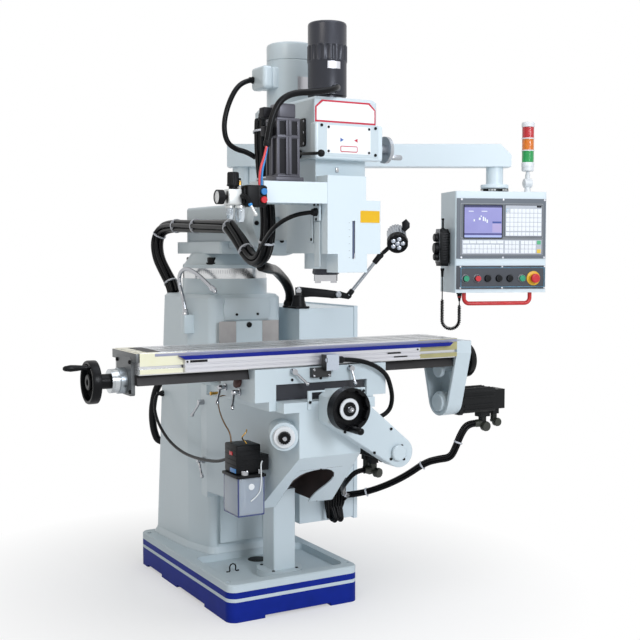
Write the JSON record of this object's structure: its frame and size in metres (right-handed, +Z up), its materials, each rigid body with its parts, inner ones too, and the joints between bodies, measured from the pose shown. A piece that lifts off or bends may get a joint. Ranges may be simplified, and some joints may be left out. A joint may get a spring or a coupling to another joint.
{
  "type": "cnc turret mill",
  "caption": "Knee-type turret milling machine with ram head, belt-driven spindle, servo-driven table, electrical cabinet, work lamp and swinging control pendant.",
  "frame": {"origin": "centre of the base's anchor bolt pattern, on the floor", "axes": "+X to the operator's right along the table, +Y to the back of the machine, +Z up"},
  "size_m": [2.2115, 1.5246, 2.291],
  "materials": {
    "base_casting": "ice grey paint with blue bands",
    "column_casting": "ice grey paint, scraped ways",
    "turret_ring": "turned and graduated",
    "knee_post": "ice grey paint",
    "cabinet_shell": "ice grey sheet",
    "coolant_pipe": "bright tube",
    "cabinet_cables": "black sheath",
    "cabinet_door": "ice grey sheet",
    "lamp_arm": "black",
    "lamp_rod": "bright rod, black clevis",
    "lamp_head": "finned aluminium, black bezel",
    "knee_casting": "ice grey paint, scraped ways",
    "y_belt_cover": "ice grey paint",
    "y_servo": "dark grey",
    "lubricator": "black pump over clear tank",
    "knee_cables": "black sheath",
    "elevating_screw": "turned",
    "crank_shaft": "white dial, steel shaft",
    "y_ball_screw": "ground",
    "y_handwheel": "black with white dial",
    "knee_clamp": "bright lever",
    "saddle_casting": "ice grey paint",
    "way_cover": "black wiper plate",
    "limit_switch": "cast box on black plate",
    "table_clamp_left": "bright lever",
    "table_clamp_right": "bright lever",
    "table_plate": "ground",
    "dog_rail": "extruded, blue strip on top",
    "left_bracket": "dark paint with satin dial",
    "right_bracket": "ice grey paint",
    "x_servo": "black",
    "x_ball_screw": "ground",
    "x_handwheels": "black",
    "turret_saddle": "ice grey paint",
    "ram_casting": "ice grey paint",
    "cable_loom": "black sheaths with white ties",
    "pendant_boom": "ice grey paint",
    "pendant_box": "ice grey sheet, red handle",
    "control_panel": "grey bezel, slate plate",
    "stack_light": "red, amber and green lenses",
    "handset": "black",
    "handset_cord": "black curls",
    "start_button": "green",
    "stop_button": "red",
    "emergency_stop": "red mushroom",
    "knuckle": "ice grey paint",
    "head_casting": "ice grey paint",
    "drive_housing": "ice grey paint",
    "spindle_motor": "ice grey paint",
    "drawbar_cylinder": "black",
    "z_servo": "dark grey",
    "z_drive_cover": "ice grey sheet",
    "air_unit": "silver body, black knob and valve box",
    "head_cables": "black, red and blue sheaths",
    "quill": "ground",
    "spindle": "ground",
    "speed_wheel": "bright rim, black handle",
    "range_lever": "bright arm, black ball",
    "clamp_button": "blue",
    "release_button": "red"
  },
  "bodies": {
    "frame": {"base_casting": "base_casting", "column_casting": "column_casting", "turret_ring": "turret_ring", "knee_post": "knee_post", "cabinet_shell": "cabinet_shell", "coolant_pipe": "coolant_pipe", "cabinet_cables": "cabinet_cables"},
    "cabinet_door": {"cabinet_door": "cabinet_door"},
    "lamp_arm": {"lamp_arm": "lamp_arm"},
    "lamp_rod": {"lamp_rod": "lamp_rod"},
    "lamp_head": {"lamp_head": "lamp_head"},
    "knee": {"knee_casting": "knee_casting", "y_belt_cover": "y_belt_cover", "y_servo": "y_servo", "lubricator": "lubricator", "knee_cables": "knee_cables"},
    "elevating_screw": {"elevating_screw": "elevating_screw"},
    "crank_shaft": {"crank_shaft": "crank_shaft"},
    "y_screw": {"y_ball_screw": "y_ball_screw", "y_handwheel": "y_handwheel"},
    "knee_clamp": {"knee_clamp": "knee_clamp"},
    "saddle": {"saddle_casting": "saddle_casting", "way_cover": "way_cover", "limit_switch": "limit_switch"},
    "table_clamp_left": {"table_clamp_left": "table_clamp_left"},
    "table_clamp_right": {"table_clamp_right": "table_clamp_right"},
    "table": {"table_plate": "table_plate", "dog_rail": "dog_rail", "left_bracket": "left_bracket", "right_bracket": "right_bracket", "x_servo": "x_servo"},
    "x_screw": {"x_ball_screw": "x_ball_screw", "x_handwheels": "x_handwheels"},
    "turret": {"turret_saddle": "turret_saddle"},
    "ram": {"ram_casting": "ram_casting", "cable_loom": "cable_loom"},
    "boom": {"pendant_boom": "pendant_boom"},
    "pendant": {"pendant_box": "pendant_box", "control_panel": "control_panel", "stack_light": "stack_light", "handset": "handset", "handset_cord": "handset_cord"},
    "start_button": {"start_button": "start_button"},
    "stop_button": {"stop_button": "stop_button"},
    "emergency_stop": {"emergency_stop": "emergency_stop"},
    "knuckle": {"knuckle": "knuckle"},
    "head": {"head_casting": "head_casting", "drive_housing": "drive_housing", "spindle_motor": "spindle_motor", "drawbar_cylinder": "drawbar_cylinder", "z_servo": "z_servo", "z_drive_cover": "z_drive_cover", "air_unit": "air_unit", "head_cables": "head_cables"},
    "quill": {"quill": "quill"},
    "spindle": {"spindle": "spindle"},
    "speed_wheel": {"speed_wheel": "speed_wheel"},
    "range_lever": {"range_lever": "range_lever"},
    "clamp_button": {"clamp_button": "clamp_button"},
    "release_button": {"release_button": "release_button"}
  },
  "joints": [
    {"name": "knee_lift", "type": "slide", "parent": "frame", "child": "knee", "axis": [0, 0, 1], "range_m": [-0.2, 0.1], "deforming": ["knee_cables"]},
    {"name": "elevating_turn", "type": "hinge", "parent": "knee", "child": "elevating_screw", "pos_m": [0, -0.34, 0.5], "axis": [0, 0, 1], "continuous": true},
    {"name": "crank_turn", "type": "hinge", "parent": "knee", "child": "crank_shaft", "pos_m": [-0.167, -0.7, 0.763], "axis": [0.4208, 0.9071, 0], "continuous": true},
    {"name": "knee_clamp_turn", "type": "hinge", "parent": "knee", "child": "knee_clamp", "pos_m": [-0.215, -0.07, 0.815], "axis": [1, 0, 0], "range_deg": [-40, 40]},
    {"name": "saddle_feed", "type": "slide", "parent": "knee", "child": "saddle", "axis": [0, 1, 0], "range_m": [-0.05, 0.3]},
    {"name": "cross_screw_turn", "type": "hinge", "parent": "knee", "child": "y_screw", "pos_m": [0, -0.5, 0.873], "axis": [0, 1, 0], "continuous": true},
    {"name": "table_feed", "type": "slide", "parent": "saddle", "child": "table", "axis": [1, 0, 0], "range_m": [-0.35, 0.35]},
    {"name": "long_screw_turn", "type": "hinge", "parent": "table", "child": "x_screw", "pos_m": [0, -0.552, 0.987], "axis": [1, 0, 0], "continuous": true},
    {"name": "table_clamp_left_turn", "type": "hinge", "parent": "saddle", "child": "table_clamp_left", "pos_m": [-0.13, -0.7, 1], "axis": [0, 1, 0], "range_deg": [-40, 40]},
    {"name": "table_clamp_right_turn", "type": "hinge", "parent": "saddle", "child": "table_clamp_right", "pos_m": [0.119, -0.7, 1], "axis": [0, 1, 0], "range_deg": [-40, 40]},
    {"name": "turret_swivel", "type": "hinge", "parent": "frame", "child": "turret", "pos_m": [0, 0.179, 1.375], "axis": [0, 0, 1], "range_deg": [-45, 15], "deforming": ["cabinet_cables"]},
    {"name": "ram_slide", "type": "slide", "parent": "turret", "child": "ram", "axis": [0, 1, 0], "range_m": [-0.06, 0.24], "deforming": ["cable_loom"]},
    {"name": "head_tilt", "type": "hinge", "parent": "ram", "child": "knuckle", "pos_m": [0, -0.345, 1.56], "axis": [0, 1, 0], "range_deg": [-45, 45]},
    {"name": "head_nod", "type": "hinge", "parent": "knuckle", "child": "head", "pos_m": [0, -0.52, 1.56], "axis": [1, 0, 0], "range_deg": [-20, 30]},
    {"name": "quill_feed", "type": "slide", "parent": "head", "child": "quill", "axis": [0, 0, 1], "range_m": [-0.127, 0]},
    {"name": "spindle_turn", "type": "hinge", "parent": "quill", "child": "spindle", "pos_m": [0, -0.725, 1.337], "axis": [0, 0, 1], "continuous": true},
    {"name": "speed_wheel_turn", "type": "hinge", "parent": "head", "child": "speed_wheel", "pos_m": [0.13, -0.8, 1.828], "axis": [1, 0, 0], "continuous": true},
    {"name": "range_lever_turn", "type": "hinge", "parent": "head", "child": "range_lever", "pos_m": [-0.13, -0.76, 1.801], "axis": [1, 0, 0], "range_deg": [-14, 14]},
    {"name": "clamp_button_push", "type": "slide", "parent": "head", "child": "clamp_button", "axis": [0, 1, 0], "range_m": [0, 0.004], "stiffness_N_per_m": 600},
    {"name": "release_button_push", "type": "slide", "parent": "head", "child": "release_button", "axis": [0, 1, 0], "range_m": [0, 0.004], "stiffness_N_per_m": 600},
    {"name": "boom_swivel", "type": "hinge", "parent": "ram", "child": "boom", "pos_m": [0.05, 0.104, 1.72], "axis": [0, 0, 1], "range_deg": [-25, 60]},
    {"name": "pendant_swivel", "type": "hinge", "parent": "boom", "child": "pendant", "pos_m": [1.01983, -0.45019, 1.725], "axis": [0, 0, 1], "range_deg": [-60, 60]},
    {"name": "start_push", "type": "slide", "parent": "pendant", "child": "start_button", "axis": [0.304, 0.9527, 0], "range_m": [0, 0.0025], "stiffness_N_per_m": 600},
    {"name": "stop_push", "type": "slide", "parent": "pendant", "child": "stop_button", "axis": [0.304, 0.9527, 0], "range_m": [0, 0.0025], "stiffness_N_per_m": 600},
    {"name": "emergency_push", "type": "slide", "parent": "pendant", "child": "emergency_stop", "axis": [0.304, 0.9527, 0], "range_m": [0, 0.005], "stiffness_N_per_m": 600},
    {"name": "door_swing", "type": "hinge", "parent": "frame", "child": "cabinet_door", "pos_m": [0.5253, 0.4, 0.72], "axis": [0, 0, 1], "range_deg": [0, 110]},
    {"name": "lamp_arm_lift", "type": "hinge", "parent": "frame", "child": "lamp_arm", "pos_m": [0.24, -0.072, 1.278], "axis": [-0.4961, -0.8682, 0], "range_deg": [-8, 30]},
    {"name": "lamp_rod_lift", "type": "hinge", "parent": "lamp_arm", "child": "lamp_rod", "pos_m": [0.392, -0.159, 1.26], "axis": [-0.4961, -0.8682, 0], "range_deg": [-30, 30]},
    {"name": "lamp_head_nod", "type": "hinge", "parent": "lamp_rod", "child": "lamp_head", "pos_m": [0.551, -0.25, 1.431], "axis": [-0.4961, -0.8682, 0], "range_deg": [-30, 30]}
  ],
  "couplings": [
    {"joint": "elevating_turn", "follows": "knee_lift", "rad_per_m": 1256.6},
    {"joint": "crank_turn", "follows": "knee_lift", "rad_per_m": 1256.6},
    {"joint": "cross_screw_turn", "follows": "saddle_feed", "rad_per_m": 1256.6},
    {"joint": "long_screw_turn", "follows": "table_feed", "rad_per_m": 1256.6}
  ]
}
